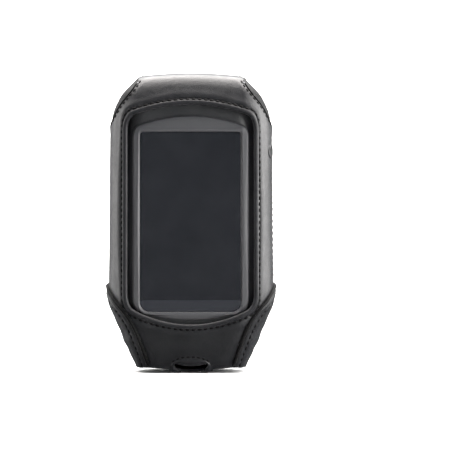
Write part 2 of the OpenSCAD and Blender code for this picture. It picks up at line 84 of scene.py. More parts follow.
# Sizes chosen here
BIND_W = 1.8  # width of the window's binding in the CAD
WIN_HALF = BIND_HI[0] - BIND_W
WIN_LOW = BIND_LO[2] + BIND_W
WIN_HIGH = BIND_HI[2] - BIND_W
SLOT_HALF = (HEM_HI[0] - HEM_LO[0]) / 2 - 3
FRONT_T = 1.6  # thickness of the front leather
SHEET_T = 1.7  # thickness of the other leather pieces
WING_T = 1.2  # how far the wings stand proud of the case
WING_GAP = 0.12  # from a wing's end to the middle of the back
LINING_IN = 3.2  # from the leather's face to the lining's inner face
WINDOW_STITCH = 2.85  # from the window's edge to its stitches
WING_STITCH = 2.9
FLAP_STITCH = 2.8
SIDE_STITCH = 2.2  # from the side seam to the stitches on each side of it
ARCH = 1.9  # drop of the top edge at ARCH_HALF from its middle
ARCH_HALF = 30.0


# ---- smooth curves and soft forms
class Smooth:
    """A monotone cubic through points."""

    def __init__(self, xs, ys):
        self.x = np.asarray(xs, float)
        self.y = np.asarray(ys, float)
        h = np.diff(self.x)
        s = np.diff(self.y) / h
        m = np.zeros_like(self.y)
        m[0], m[-1] = s[0], s[-1]
        for i in range(1, len(m) - 1):
            if s[i - 1] * s[i] > 0:
                w1, w2 = 2 * h[i] + h[i - 1], h[i] + 2 * h[i - 1]
                m[i] = (w1 + w2) / (w1 / s[i - 1] + w2 / s[i])
        self.m = m

    def __call__(self, x):
        x = np.clip(np.asarray(x, float), self.x[0], self.x[-1])
        i = np.clip(np.searchsorted(self.x, x) - 1, 0, len(self.x) - 2)
        h = self.x[i + 1] - self.x[i]
        t = (x - self.x[i]) / h
        a, b = self.y[i], self.y[i + 1]
        return (
            a * (1 + 2 * t) * (1 - t) ** 2
            + b * t * t * (3 - 2 * t)
            + h * t * (1 - t) * (self.m[i] * (1 - t) - self.m[i + 1] * t)
        )


class Body:
    """A closed soft form of level rounded sections, unrolled as distance round the section and height.

    Each row is a height, a half width, a half depth and a corner radius, as parts of the full sizes.
    """

    def __init__(self, rows, half_w, half_d, low, high, corner, arch=0.0):
        rows = np.array(rows, float)
        z = low + rows[:, 0] * (high - low)
        full = (half_w, half_d, corner)
        self.w, self.d, self.r = (Smooth(z, part * size) for part, size in zip(rows[:, 1:].T, full))
        self.low, self.high, self.arch = low, high, arch

    def sizes(self, z):
        w, d = self.w(z), self.d(z)
        r = np.minimum(self.r(z), d - 0.8)
        return w, d, r

    def turns(self, z):
        """Distances from the front's middle to the ends of the front, front corner, side and back corner."""
        w, d, r = self.sizes(z)
        l1 = w - r
        l2 = l1 + pi / 2 * r
        l3 = l2 + 2 * (d - r)
        return l1, l2, l3, l3 + pi / 2 * r

    def half_round(self, z):
        l1, _, _, l4 = self.turns(z)
        return l4 + l1

    def point(self, a, z):
        a, z = np.broadcast_arrays(np.asarray(a, float), np.asarray(z, float))
        w, d, r = self.sizes(z)
        l1, l2, l3, l4 = self.turns(z)
        s = np.abs(a)
        f1 = (s - l1) / r
        f2 = (s - l3) / r
        part = [s < l1, s < l2, s < l3, s < l4]
        x = np.select(part, [s, l1 + r * np.sin(f1), w, l1 + r * np.cos(f2)], l1 - (s - l4))
        y = np.select(part, [-d, -d + r - r * np.cos(f1), -d + r + s - l2, d - r + r * np.sin(f2)], d)
        top = np.clip((z - self.low - 0.86 * (self.high - self.low)) / (0.12 * (self.high - self.low)), 0, 1)
        zz = z - self.arch * (x / ARCH_HALF) ** 2 * top * top * (3 - 2 * top)
        return np.stack([np.sign(a) * x, y, zz], -1)

    def normal(self, a, z, e=0.05):
        z0 = np.clip(z, self.low + 2 * e, self.high - 2 * e)
        da = self.point(a + e, z0) - self.point(a - e, z0)
        dz = self.point(a, z0 + e) - self.point(a, z0 - e)
        n = np.cross(da, dz)
        return n / np.maximum(np.linalg.norm(n, axis=-1, keepdims=True), 1e-9)

    def from_x(self, x, z):
        """The distance round the section of a point seen from the front."""
        r = self.sizes(z)[2]
        l1 = self.turns(z)[0]
        ax = np.abs(x)
        return np.sign(x) * np.where(ax <= l1, ax, l1 + r * np.arcsin(np.clip((ax - l1) / r, 0, 1)))

    def from_y(self, y, z):
        """The distance round the right side of the section of a point at a depth."""
        d, r = self.sizes(z)[1:]
        l1, l2, l3, _ = self.turns(z)
        front = l1 + r * np.arccos(np.clip((-d + r - y) / r, -1, 1))
        back = l3 + r * np.arcsin(np.clip((y - (d - r)) / r, 0, 1))
        return np.where(y < -d + r, front, np.where(y <= d - r, l2 + y + d - r, back))


CASE = Body(
    [[0.0, 0.55, 0.60, 0.8], [0.004, 0.60, 0.66, 0.82], [0.0125, 0.636, 0.73, 0.85], [0.025, 0.652, 0.80, 0.9],
     [0.044, 0.684, 0.86, 0.95], [0.063, 0.720, 0.90, 1], [0.085, 0.752, 0.935, 1], [0.106, 0.795, 0.955, 1],
     [0.138, 0.832, 0.975, 1], [0.166, 0.878, 0.985, 1], [0.188, 0.910, 0.99, 1], [0.206, 0.940, 0.993, 1],
     [0.225, 0.970, 0.997, 1], [0.245, 0.988, 1, 1], [0.285, 1.002, 1, 1], [0.33, 1.0, 1, 1],
     [0.455, 0.993, 1, 1], [0.60, 0.987, 1, 1], [0.76, 0.984, 1, 1], [0.82, 0.978, 0.998, 0.98],
     [0.872, 0.944, 0.985, 0.9], [0.90, 0.912, 0.968, 0.82], [0.918, 0.886, 0.95, 0.76],
     [0.936, 0.856, 0.925, 0.68], [0.945, 0.836, 0.908, 0.64], [0.955, 0.808, 0.885, 0.6],
     [0.963, 0.782, 0.86, 0.56], [0.972, 0.748, 0.825, 0.52], [0.984, 0.706, 0.76, 0.46],
     [0.993, 0.686, 0.67, 0.4], [1.0, 0.676, 0.52, 0.34]],
    HALF_W, HALF_D, 0.0, TOP_Z, 15.0, ARCH)
UNIT = Body(
    [[0, 0.60, 0.58, 0.8], [0.012, 0.70, 0.70, 0.9], [0.035, 0.78, 0.82, 1], [0.07, 0.85, 0.91, 1],
     [0.12, 0.905, 0.96, 1], [0.22, 0.97, 1, 1], [0.5, 1, 1, 1], [0.8, 0.985, 1, 1], [0.90, 0.945, 0.98, 1],
     [0.95, 0.885, 0.93, 1], [0.98, 0.81, 0.83, 0.9], [0.993, 0.75, 0.72, 0.8], [1, 0.71, 0.64, 0.75]],
    UNIT_HI[0] - 0.05, UNIT_HI[1] - 0.05, UNIT_LO[2], UNIT_HI[2], 12.0)


def on_body(a, z, body=CASE):
    """Points on a body and the directions out of it there."""
    return body.point(a, z), body.normal(a, z)


# ---- lines and unevenness
def run_length(p):
    """Distances along a line of points from its first point."""
    return np.concatenate([[0], np.cumsum(np.linalg.norm(np.diff(p, axis=0), axis=1))])


def unit_length(v):
    return v / np.linalg.norm(v, axis=-1, keepdims=True)


def points_at(line, s, at):
    """Points at distances along a line whose own points lie at the distances s."""
    return np.stack([np.interp(at, s, part) for part in line.T], -1)


def resample(loop, count, closed=True):
    p = np.asarray(loop, float)
    if closed:
        p = np.vstack([p, p[:1]])
    s = run_length(p)
    return points_at(p, s, np.linspace(0, s[-1], count, endpoint=not closed))


def polar_radius(loop, centre, theta):
    p = resample(loop, 6000) - centre
    ang = np.arctan2(p[:, 1], p[:, 0])
    order = np.argsort(ang)
    ang, rad = ang[order], np.linalg.norm(p, axis=1)[order]
    return np.interp(theta, np.concatenate([ang - 2 * pi, ang, ang + 2 * pi]), np.tile(rad, 3))


def smooth_line(pts, count):
    """An even curve through points, softened at its corners."""
    p = resample(pts, 400, closed=False)
    for _ in range(60):
        p[1:-1] = (p[:-2] + p[1:-1] * 2 + p[2:]) / 4
    return resample(p, count, closed=False)


def mirror_x(p):
    return p * np.array([-1, 1, 1][: p.shape[-1]])


def closed_outline(right):
    """A whole outline from its right half, which starts and ends on the middle line."""
    return np.vstack([right, mirror_x(right)[::-1][1:-1]])


def ripple(p, size, seed):
    """Soft unevenness at points in millimetres, about -1 to 1."""
    flat = p.reshape(-1, 3) / size + seed
    return np.array([noise.noise(Vector(q)) for q in flat]).reshape(p.shape[:-1])


def soft_lift(p):
    """Slow unevenness of the leather."""
    return 0.16 * ripple(p, 26.0, 3.1) + 0.05 * ripple(p, 7.0, 9.4)


def swell(d, at, width, height):
    """A soft ridge, or a groove if the height is negative, along a line at a distance."""
    return height * np.exp(-(((d - at) / width) ** 2))


def edge_falloff(shape):
    """The rolling off of a sheet's edges, counted in rows and columns of its grid."""
    v, u = (np.minimum(np.arange(k), np.arange(k)[::-1]) for k in shape)
    return swell(np.minimum(v[:, None], u[None, :]), 0, 3, -0.4)


# ---- meshes
def new_object(name, data):
    ob = bpy.data.objects.new(name, data)
    bpy.context.scene.collection.objects.link(ob)
    return ob


def add_mesh(name, verts, faces, mats):
    me = bpy.data.meshes.new(name)
    me.from_pydata([tuple(v) for v in np.asarray(verts, float) * MM], [], [tuple(f) for f in faces])
    me.validate()
    for m in mats if isinstance(mats, (list, tuple)) else [mats]:
        me.materials.append(m)
    me.polygons.foreach_set("use_smooth", [True] * len(me.polygons))
    me.update()
    return new_object(name, me)


def sheet_faces(rows, cols, wrap, flip=False, base=0):
    out = []
    for j in range(rows - 1):
        for i in range(cols if wrap else cols - 1):
            k = (i + 1) % cols
            q = (base + j * cols + i, base + j * cols + k, base + (j + 1) * cols + k, base + (j + 1) * cols + i)
            out.append(q[::-1] if flip else q)
    return out


def mark_sharp(ob, pairs):
    me = ob.data
    ends = np.empty(len(me.edges) * 2, int)
    me.edges.foreach_get("vertices", ends)
    ends = np.sort(ends.reshape(-1, 2), 1).tolist()
    me.edges.foreach_set("use_edge_sharp", [tuple(e) in pairs for e in ends])
    me.update()


def solid_sheet(name, top, bottom, mats, wrap=False, flip=False):
    """A closed solid between two grids of the same size, wrapped round along the columns or not."""
    rows, cols = top.shape[:2]
    n = rows * cols
    verts = np.concatenate([top.reshape(-1, 3), bottom.reshape(-1, 3)])
    faces = sheet_faces(rows, cols, wrap, flip) + sheet_faces(rows, cols, wrap, not flip, n)
    ids = np.arange(n).reshape(rows, cols)
    edges = [ids[0], ids[-1, ::-1]]
    edges = [np.append(e, e[0]) for e in edges] if wrap else edges + [ids[::-1, 0], ids[:, -1]]
    rim = set()
    for e in edges:
        for a, b in zip(e[:-1].tolist(), e[1:].tolist()):
            q = (b, a, a + n, b + n)
            faces.append(q[::-1] if flip else q)
            rim.update([(min(a, b), max(a, b)), (min(a, b) + n, max(a, b) + n)])
    ob = add_mesh(name, verts, faces, mats)
    mark_sharp(ob, rim)
    return ob


def ring_mesh(name, rings, mats, closed):
    """A solid through rings of points, joined end to end or capped."""
    count, sides = rings.shape[:2]
    total = count * sides
    faces = sheet_faces(count, sides, True, flip=True)
    if closed:
        last = total - sides
        faces += [(last + i, i, (i + 1) % sides, last + (i + 1) % sides) for i in range(sides)]
    else:
        faces += [tuple(range(sides)), tuple(range(total - sides, total))[::-1]]
    return add_mesh(name, rings.reshape(-1, 3), faces, mats)


def tube(name, path, normals, radius, mats, sides=12, closed=False):
    path = np.asarray(path, float)
    t = np.roll(path, -1, 0) - np.roll(path, 1, 0)
    if not closed:
        t[0], t[-1] = path[1] - path[0], path[-1] - path[-2]
    t = unit_length(t)
    n = unit_length(normals - (normals * t).sum(1, keepdims=True) * t)
    b = np.cross(t, n)
    ang = (np.arange(sides) * 2 * pi / sides)[None, :, None]
    rad = np.broadcast_to(radius, (len(path),))[:, None, None]
    rings = path[:, None] + rad * (np.cos(ang) * n[:, None] + np.sin(ang) * b[:, None])
    return ring_mesh(name, rings, mats, closed)


def stitch_row(name, path, normals, mats, length=2.4, gap=0.8, radius=0.56, lift=0.05, closed=False):
    """A row of short rounded stitches along a line, dipping into the leather at their ends."""
    if closed:
        path, normals = np.vstack([path, path[:1]]), np.vstack([normals, normals[:1]])
    s = run_length(path)
    count = max(1, int(round(s[-1] / (length + gap))))
    pitch = s[-1] / count
    length = pitch * length / (length + gap)
    rows, sides = 9, 8
    u = np.linspace(-1, 1, rows)
    plump = np.sqrt(np.clip(1 - np.abs(u) ** 3.2, 0.02, 1))
    ang = (np.arange(sides) * 2 * pi / sides)[None, :, None]
    verts, faces = [], []
    for k in range(count):
        mid = (k + 0.5) * pitch + rng.uniform(-0.05, 0.05)
        c = points_at(path, s, np.clip(mid + u * length / 2, 0, s[-1]))
        up = unit_length(points_at(normals, s, mid))
        t = unit_length(c[-1] - c[0])
        up = unit_length(up - up.dot(t) * t)
        b = np.cross(t, up)
        c = c + up * (lift - 0.32 * u[:, None] ** 4) + b * rng.uniform(-0.05, 0.05)
        ring = c[:, None] + radius * plump[:, None, None] * (np.cos(ang) * up * 0.8 + np.sin(ang) * b)
        base = len(verts)
        verts.extend(ring.reshape(-1, 3))
        faces += sheet_faces(rows, sides, True, flip=True, base=base)
        end = base + (rows - 1) * sides
        faces += [tuple(range(base, base + sides)), tuple(range(end, end + sides))[::-1]]
    return add_mesh(name, verts, faces, mats)


# ---- materials
def new_material(name):
    m = bpy.data.materials.new(name)
    m.use_nodes = True
    nt = m.node_tree
    return m, nt, nt.nodes["Principled BSDF"], nt.nodes.new("ShaderNodeTexCoord").outputs["Object"]


def fill(nt, node, sockets):
    """Sets a node's sockets, or links them where the value is another node's output."""
    for key, value in sockets.items():
        if isinstance(value, bpy.types.NodeSocket):
            nt.links.new(value, node.inputs[key])
        else:
            node.inputs[key].default_value = value
    return node


def texture(nt, at, kind, scale, **values):
    """A texture's plain output; lower-case names are the node's settings, the others its sockets."""
    node = nt.nodes.new("ShaderNodeTex" + kind)
    for key in [k for k in values if k.islower()]:
        setattr(node, key, values.pop(key))
    fill(nt, node, {"Vector": at, "Scale": scale, **values})
    return node.outputs["Distance" if kind == "Voronoi" else "Fac"]


def ramp(nt, source, low, high, a, b):
    node = nt.nodes.new("ShaderNodeMapRange")
    values = {"Value": source, "From Min": low, "From Max": high, "To Min": a, "To Max": b}
    return fill(nt, node, values).outputs[0]


def mix_colour(nt, fac, *colours, blend="MIX"):
    node = nt.nodes.new("ShaderNodeMix")
    node.data_type = "RGBA"
    node.blend_type = blend
    a, b = ((*c, 1) if isinstance(c, tuple) else c for c in colours)
    return fill(nt, node, {0: fac, 6: a, 7: b}).outputs[2]


def math_node(nt, op, a, b):
    node = nt.nodes.new("ShaderNodeMath")
    node.operation = op
    return fill(nt, node, {0: a, 1: b}).outputs[0]


def add_bump(nt, bsdf, height, strength, distance, **more):
    node = nt.nodes.new("ShaderNodeBump")
    fill(nt, node, {"Height": height, "Strength": strength, "Distance": distance, **more})
    fill(nt, bsdf, {"Normal": node.outputs["Normal"]})
    return node.outputs["Normal"]


def scaled(colour, k):
    return tuple(c * k for c in colour)


def leather(name, dark, light, rough=(0.36, 0.5), grain=0.4, spec=0.55):
    m, nt, bsdf, at = new_material(name)
    cells = texture(nt, at, "Voronoi", 1250, feature="DISTANCE_TO_EDGE")
    pores = texture(nt, at, "Noise", 2600, Detail=3.0, Roughness=0.6)
    patches = texture(nt, at, "Noise", 55, Detail=4.0, Roughness=0.55)
    creases = texture(nt, at, "Noise", 240, Detail=5.0, Roughness=0.6, Distortion=0.8)
    tone = mix_colour(nt, ramp(nt, patches, 0.35, 0.68, 0, 1), dark, light)
    shade = mix_colour(nt, 1.0, tone, ramp(nt, cells, 0.0, 0.16, 0.55, 1.0), blend="MULTIPLY")
    edge = ramp(nt, nt.nodes.new("ShaderNodeNewGeometry").outputs["Pointiness"], 0.53, 0.62, 0.0, 0.5)
    rub = math_node(nt, "MULTIPLY", edge, ramp(nt, creases, 0.4, 0.65, 0.2, 1.0))
    fill(nt, bsdf, {
        "Base Color": mix_colour(nt, rub, shade, (0.09, 0.088, 0.085)),
        "Roughness": ramp(nt, creases, 0.3, 0.7, rough[1], rough[0]),
        "Specular IOR Level": spec, "Sheen Weight": 0.06, "Sheen Roughness": 0.4})
    height = math_node(nt, "ADD", ramp(nt, cells, 0.0, 0.2, 0.0, 1.0), math_node(nt, "MULTIPLY", pores, 0.5))
    add_bump(nt, bsdf, height, grain, 0.00009, Normal=add_bump(nt, bsdf, creases, 0.2, 0.00035))
    return m


def plastic(name, colour, rough=0.45, grain=0.3, grain_scale=4200, spread=0.2, spec=0.5):
    m, nt, bsdf, at = new_material(name)
    fine = texture(nt, at, "Noise", grain_scale, Detail=2.0)
    broad = texture(nt, at, "Noise", 90, Detail=4.0, Roughness=0.6)
    fill(nt, bsdf, {
        "Base Color": mix_colour(nt, broad, scaled(colour, 1 - spread), scaled(colour, 1 + spread)),
        "Roughness": ramp(nt, broad, 0.3, 0.7, rough - 0.06, rough + 0.08), "Specular IOR Level": spec})
    add_bump(nt, bsdf, fine, grain, 0.00004)
    return m


def metal(name, colour, rough=0.32):
    m, nt, bsdf, at = new_material(name)
    stretch = fill(nt, nt.nodes.new("ShaderNodeMapping"), {"Vector": at, "Scale": (1, 1, 30)})
    lines = texture(nt, stretch.outputs["Vector"], "Noise", 400, Detail=3)
    fill(nt, bsdf, {
        "Base Color": mix_colour(nt, lines, scaled(colour, 0.8), colour),
        "Roughness": ramp(nt, lines, 0.3, 0.7, rough - 0.08, rough + 0.1), "Metallic": 1.0})
    add_bump(nt, bsdf, lines, 0.2, 0.00002)
    return m


def cloth(name, colour, weave=1400):
    m, nt, bsdf, at = new_material(name)
    threads = [texture(nt, at, "Wave", weave, Distortion=0.6, bands_direction=way) for way in "XZ"]
    fuzz = texture(nt, at, "Noise", 900, Detail=4.0)
    fill(nt, bsdf, {
        "Base Color": mix_colour(nt, fuzz, scaled(colour, 0.5), scaled(colour, 1.5)),
        "Roughness": ramp(nt, fuzz, 0.3, 0.7, 0.77, 0.93), "Sheen Weight": 0.3})
    add_bump(nt, bsdf, math_node(nt, "MAXIMUM", *threads), 0.5, 0.0001)
    return m


def glass(name, colour, rough, smudge=1.6, spread=38, detail=5.0, swirl=1.2):
    m, nt, bsdf, at = new_material(name)
    smear = texture(nt, at, "Noise", spread, Detail=detail, Roughness=0.65, Distortion=swirl)
    speck = ramp(nt, texture(nt, at, "Voronoi", 420), 0.03, 0.07, 0.35, 0.0)
    base = mix_colour(nt, ramp(nt, smear, 0.35, 0.75, 0, 1), colour, scaled(colour, smudge))
    speck = math_node(nt, "MULTIPLY", speck, ramp(nt, smear, 0.5, 0.7, 0, 1))
    fill(nt, bsdf, {
        "Base Color": mix_colour(nt, speck, base, scaled(colour, smudge * smudge * 2.5)),
        "Roughness": ramp(nt, smear, 0.35, 0.7, rough, rough + 0.14)})
    return m


LEATHER_MAT = leather("black_leather", (0.0046, 0.0049, 0.0066), (0.0079, 0.0083, 0.0106))
# Darker copy of the black leather for the lower wings: painted shade where they face down and away from the
# lights
WING_SHADED_MAT = leather("wing_leather_painted_shade", (0.0042, 0.0044, 0.0057), (0.0076, 0.0079, 0.0098), spec=0.34)
GUSSET_MAT = leather("gusset_leather", (0.0053, 0.0055, 0.0064), (0.0088, 0.009, 0.0102), (0.48, 0.6), spec=0.2)
PIPE_MAT = leather("piping_leather", (0.0012, 0.0012, 0.0014), (0.0025, 0.0025, 0.0028), (0.5, 0.62), 0.25,
                   0.12)
BIND_MAT = leather("binding_leather", (0.0068, 0.0071, 0.009), (0.011, 0.0114, 0.0138), (0.38, 0.5), 0.3, 0.36)
THREAD_MAT = plastic("waxed_thread", (0.0012, 0.0012, 0.0014), 0.62, 0.8, 6000, spec=0.22)
# Light thread for the seam knots: a painted highlight, a bright dot drawn as light-coloured thread
KNOT_HIGHLIGHT_MAT = plastic("knot_painted_highlight", (0.2, 0.2, 0.21), 0.5, 0.8, 6000)
CLIP_MAT = plastic("clip_plastic", (0.014, 0.014, 0.015), grain=0.5, grain_scale=2600)
HOUSING_MAT = plastic("housing_plastic", (0.017, 0.018, 0.0195), 0.42, 0.35)
TRIM_MAT = plastic("trim_plastic", (0.0385, 0.0395, 0.043), 0.4, 0.35, spread=0.06)
LINING_MAT = cloth("case_lining_cloth", (0.006, 0.006, 0.0065))
GLASS_MAT = glass("front_glass_dark", (0.0062, 0.0068, 0.0085), 0.14)
STRIP_MAT = glass("glass_lower_band", (0.014, 0.0154, 0.0192), 0.2, 1.08, 9, detail=1.0, swirl=0.0)
SLOT_MATS = {
    "leather": LEATHER_MAT, "piping": PIPE_MAT, "lining": LINING_MAT, "clip_plastic": CLIP_MAT,
    "housing_plastic": HOUSING_MAT, "trim_plastic": TRIM_MAT, "front_glass": GLASS_MAT,
    "hook_and_loop": cloth("hook_tape", (0.008, 0.008, 0.009), weave=2200),
    "seal_rubber": plastic("seal_rubber", (0.01, 0.01, 0.011), 0.7, 0.4),
    "dark_plastic": plastic("dark_plastic", (0.015, 0.015, 0.017), 0.5),
    "board": plastic("board_green", (0.01, 0.085, 0.04), 0.38, grain_scale=1500),
    "antenna_ceramic": plastic("antenna_ceramic", (0.5, 0.44, 0.34), 0.5),
    "display": glass("display_face", (0.006, 0.0065, 0.0078), 0.2),
    "steel": metal("bright_steel", (0.56, 0.57, 0.59)),
    "carrier_alloy": metal("carrier_alloy", (0.62, 0.63, 0.65), 0.4),
    "contact_gold": metal("contact_plating", (0.8, 0.58, 0.24), 0.28),
}
for sub in frame["record"]["subparts"]:
    node = frame["nodes"][sub["node"]]
    if not node.material_slots:
        node.data.materials.append(None)
    for material_slot in node.material_slots:
        material_slot.material = SLOT_MATS[sub["material_slot"]]


def place(ob, body, slot, *nodes):
    """Rides a piece on a body and hides the CAD nodes it replaces. The slot is not used."""
    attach(ob, body)
    if nodes:
        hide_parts(*nodes)


def lay(name, p, n, top, depth, mat, slot, *nodes, **ways):
    """A solid sheet from a height above a surface of the case to a depth below it."""
    top = np.asarray(top, float)[..., None]
    place(solid_sheet(name, p + n * top, p - n * depth, mat, **ways), "case", slot, *nodes)


def sew(name, path, normals, off, body="case", thread=THREAD_MAT, **sizes):
    """A row of stitches along a line, set off from it along the normals."""
    place(stitch_row(name, path + normals * off, normals, thread, **sizes), body, "piping")


# ---- outlines seen from the front
def bend(start, pull, end, ts):
    return [start * (1 - t) ** 2 + 2 * t * (1 - t) * np.array(pull) + t * t * end for t in ts]


def arched(half, low, high, sag_low, sag_high, r, count=720):
    """An upright outline with an arched top and bottom, anticlockwise from the bottom middle."""
    reach = half - r * 0.42
    xs = np.linspace(0, reach, 60)
    bottom = np.stack([xs, low + sag_low * (xs / reach) ** 2], -1)
    top = np.stack([xs, high - sag_high * (xs / reach) ** 2], -1)
    b0, b1 = bottom[-1], np.array([half, low + sag_low + r])
    t0, t1 = np.array([half, high - sag_high - r]), top[-1]
    low_bend = bend(b0, [half - 0.02, b0[1] + 0.25 * r], b1, np.linspace(0, 1, 20)[1:])
    high_bend = bend(t0, [half - 0.02, t1[1] - 0.25 * r], t1, np.linspace(0, 1, 20))
    return resample(closed_outline(np.vstack([bottom, low_bend, high_bend, top[::-1][1:]])), count)


def rounded_outline(half, low, high, r_low, r_high, steps, count):
    """An upright outline with straight sides and round corners."""
    q = np.linspace(0, pi / 2, steps)
    low_bend = np.stack([half - r_low + r_low * np.sin(q), low + r_low - r_low * np.cos(q)], -1)
    high_bend = np.stack([half - r_high + r_high * np.cos(q), high - r_high + r_high * np.sin(q)], -1)
    return resample(closed_outline(np.vstack([[[0, low]], low_bend, high_bend, [[0, high]]])), count)


def window_outline(grow=0.0, count=720):
    return arched(WIN_HALF + grow, WIN_LOW - grow, WIN_HIGH + grow, 7.6, 5.6, 8.5 + grow * 0.6, count)


def unroll(body, outline):
    return np.stack([body.from_x(outline[:, 0], outline[:, 1]), outline[:, 1]], -1)


def on_case(outline):
    az = unroll(CASE, outline)
    return on_body(az[:, 0], az[:, 1])


# Points of the wing's front edge, right side, in the case's half width and height
WING_EDGE = smooth_line(np.array([
    (1.004, 0.290), (0.968, 0.264), (0.907, 0.237), (0.824, 0.2125), (0.765, 0.189), (0.705, 0.163),
    (0.657, 0.133), (0.613, 0.101), (0.572, 0.07), (0.534, 0.038), (0.503, 0.012)]) * [HALF_W, CASE_H], 120)
# The seam that narrows the front towards the top, right side
DIAGONAL = smooth_line(np.array([
    (0.962, 0.845), (0.937, 0.859), (0.88, 0.892), (0.835, 0.914), (0.79, 0.932), (0.722, 0.958),
    (0.655, 0.986), (0.625, 0.9995)]) * [HALF_W, CASE_H], 100)
DIAG_TOP = DIAGONAL[-1, 1]
SEAM_LOW_Z = 0.79 * CASE_H
TOP_EDGE_Z = CASE.high - 1.05
CENTRE = np.array([0.0, 0.53 * CASE_H])


def diagonal_a(z):
    """The distance round of the diagonal seam at a height, from the side seam up to the top edge."""
    a = CASE.from_x(DIAGONAL[:, 0], DIAGONAL[:, 1])
    zs = np.concatenate([[SEAM_LOW_Z], DIAGONAL[:, 1]])
    start = float(CASE.from_y(SEAM_Y, SEAM_LOW_Z))
    return Smooth(zs[::6], np.concatenate([[start], a])[::6])(z)


def base_height(x, y):
    """The bottom is lowest in the middle and lifts a little towards its corners."""
    side_lift = 2.2 * np.sin(np.clip(np.abs(x) / 26.0, 0, 1) * pi / 2) ** 1.6
    return 0.05 + side_lift + 0.5 * (np.abs(y) / 14.0) ** 4


def bottom_rim(a):
    """Heights of the bottom edge at distances round the section."""
    z = np.full(np.shape(a), 1.0)
    for _ in range(12):
        p = CASE.point(a, z)
        z = 0.5 * z + 0.5 * np.clip(base_height(p[..., 0], p[..., 1]), 0.05, 4.5)
    return z


def front_outer_loop(low_z):
    """The panel's edge: bottom with the slot, side seams, diagonal seams and top."""
    half = SLOT_HALF + 0.5
    slot_x = np.linspace(0, half, 40)
    slot = np.stack([slot_x, 5.6 + 0.6 * (slot_x / half) ** 2], -1)
    down = np.array([[half + 0.1, 4.0], [half + 0.3, 2.0]])
    bottom_a = np.linspace(half + 0.6, float(CASE.from_y(SEAM_Y, 3.4)), 60)
    bottom = np.stack([bottom_a, bottom_rim(bottom_a) + low_z], -1)
    zs = np.linspace(bottom[-1, 1] + 0.4, SEAM_LOW_Z, 120)
    side = np.stack([CASE.from_y(SEAM_Y, zs), zs], -1)
    zd = np.linspace(SEAM_LOW_Z, TOP_EDGE_Z, 80)[1:]
    diag = np.stack([diagonal_a(zd), zd], -1)
    top = np.stack([np.linspace(diag[-1, 0], 0, 40)[1:], np.full(39, TOP_EDGE_Z)], -1)
    return closed_outline(np.vstack([slot, down, bottom, side, diag, top]))


def rays(inner, outer, centre, count):
    """Angles from a centre through a loop's points, and the distances out to it and to an outer loop."""
    rel = resample(inner, count) - centre
    theta = np.arctan2(rel[:, 1], rel[:, 0])
    return theta, np.linalg.norm(rel, axis=1), polar_radius(outer, centre, theta)


def ray_grid(inner, outer, count, near, middle, far):
    """A grid of points between two loops along rays, with each point's way to both."""
    theta, r_in, r_out = rays(inner, outer, CENTRE, count)
    length = r_out - r_in
    rows = [np.full(count, d) for d in near]
    rows += [near[-1] + t * (length - far[0] - near[-1]) for t in np.linspace(0, 1, middle + 2)[1:-1]]
    rows += [length - d for d in far]
    dist = np.array(rows)
    grid = CENTRE + (r_in + dist)[..., None] * np.stack([np.cos(theta), np.sin(theta)], -1)
    return grid, dist, length - dist


# ---- front leather, lining and the key's mark
def front_panel():
    near = [0, 0.4, 0.9, 1.4, 1.8, 2.1, 2.35, 2.6, 2.85, 3.1, 3.4, 3.8, 4.4, 5.2]
    far = [3.0, 2.3, 1.7, 1.2, 0.8, 0.5, 0.25, 0.0]
    grid, d_in, d_out = ray_grid(unroll(CASE, window_outline(0.3)), front_outer_loop(0.05), 720, near, 40, far)
    p, n = on_body(grid[..., 0], grid[..., 1])
    below_top = np.clip((TOP_EDGE_Z - 1.5 - grid[..., 1]) / 3.0, 0, 1)
    lift = (swell(d_in, WINDOW_STITCH, 0.42, -0.30) + swell(d_in, 5.2, 2.0, 0.28)
            + swell(d_out, 0.0, 0.55, -0.35) * below_top + soft_lift(p))
    lay("front_leather", p, n, lift, FRONT_T, LEATHER_MAT, "leather", "front_leather_panel", wrap=True)


def front_lining():
    grid = ray_grid(unroll(CASE, window_outline(1.0)), front_outer_loop(0.6), 360,
                    [0, 0.5, 1.2], 26, [1.2, 0.6, 0.2])[0]
    p, n = on_body(grid[..., 0], grid[..., 1])
    top = 0.06 * ripple(p, 9.0, 5.0) - 1.85
    lay("front_lining", p, n, top, LINING_IN, LINING_MAT, "lining", "case_lining", wrap=True)


def key_mark():
    """A ring pressed up round the place of the power key."""
    turn = np.linspace(0, 2 * pi, 60, endpoint=False)
    mark_z = (KEY_LO[2] + KEY_HI[2]) / 2 - 0.8
    mark_a = float(CASE.from_y(-11.2, mark_z))
    p, n = on_body(mark_a + 3.3 * np.sin(turn), mark_z + 3.3 * np.cos(turn))
    place(tube("key_mark_ring", p + n * 0.04, n, 0.42, LEATHER_MAT, closed=True), "case", "leather")


# ---- window binding and its stitching
def window_binding():
    """A folded strip round the window's edge, rounded where it turns over; its section is out and up."""
    section = [
        (2.45, -0.35), (2.4, 0.05), (2.2, 0.3), (1.85, 0.42), (1.4, 0.46), (0.95, 0.42), (0.5, 0.28), (0.18, 0.0),
        (0.0, -0.4), (-0.03, -0.9), (0.05, -1.5), (0.25, -2.0), (0.7, -2.3), (1.6, -2.35), (2.3, -2.1),
        (2.45, -1.4)]
    p, n = on_case(window_outline(0.0, 520))
    out = np.cross(unit_length(np.roll(p, -1, 0) - np.roll(p, 1, 0)), n)
    wave = (1 + 0.06 * ripple(p, 5.0, 2.2))[:, None]
    rings = np.stack([p + out * u + n * (v * wave if v > 0 else v) for u, v in section], 1)
    count, sides = rings.shape[:2]
    faces = []
    for j in range(count):
        k = (j + 1) % count
        for i in range(sides):
            m = (i + 1) % sides
            faces.append((j * sides + i, k * sides + i, k * sides + m, j * sides + m))
    strip = add_mesh("window_binding_strip", rings.reshape(-1, 3), faces, BIND_MAT)
    place(strip, "case", "leather", "window_binding")
    sew("window_stitching", *on_case(window_outline(WINDOW_STITCH, 900)), -0.12, closed=True)


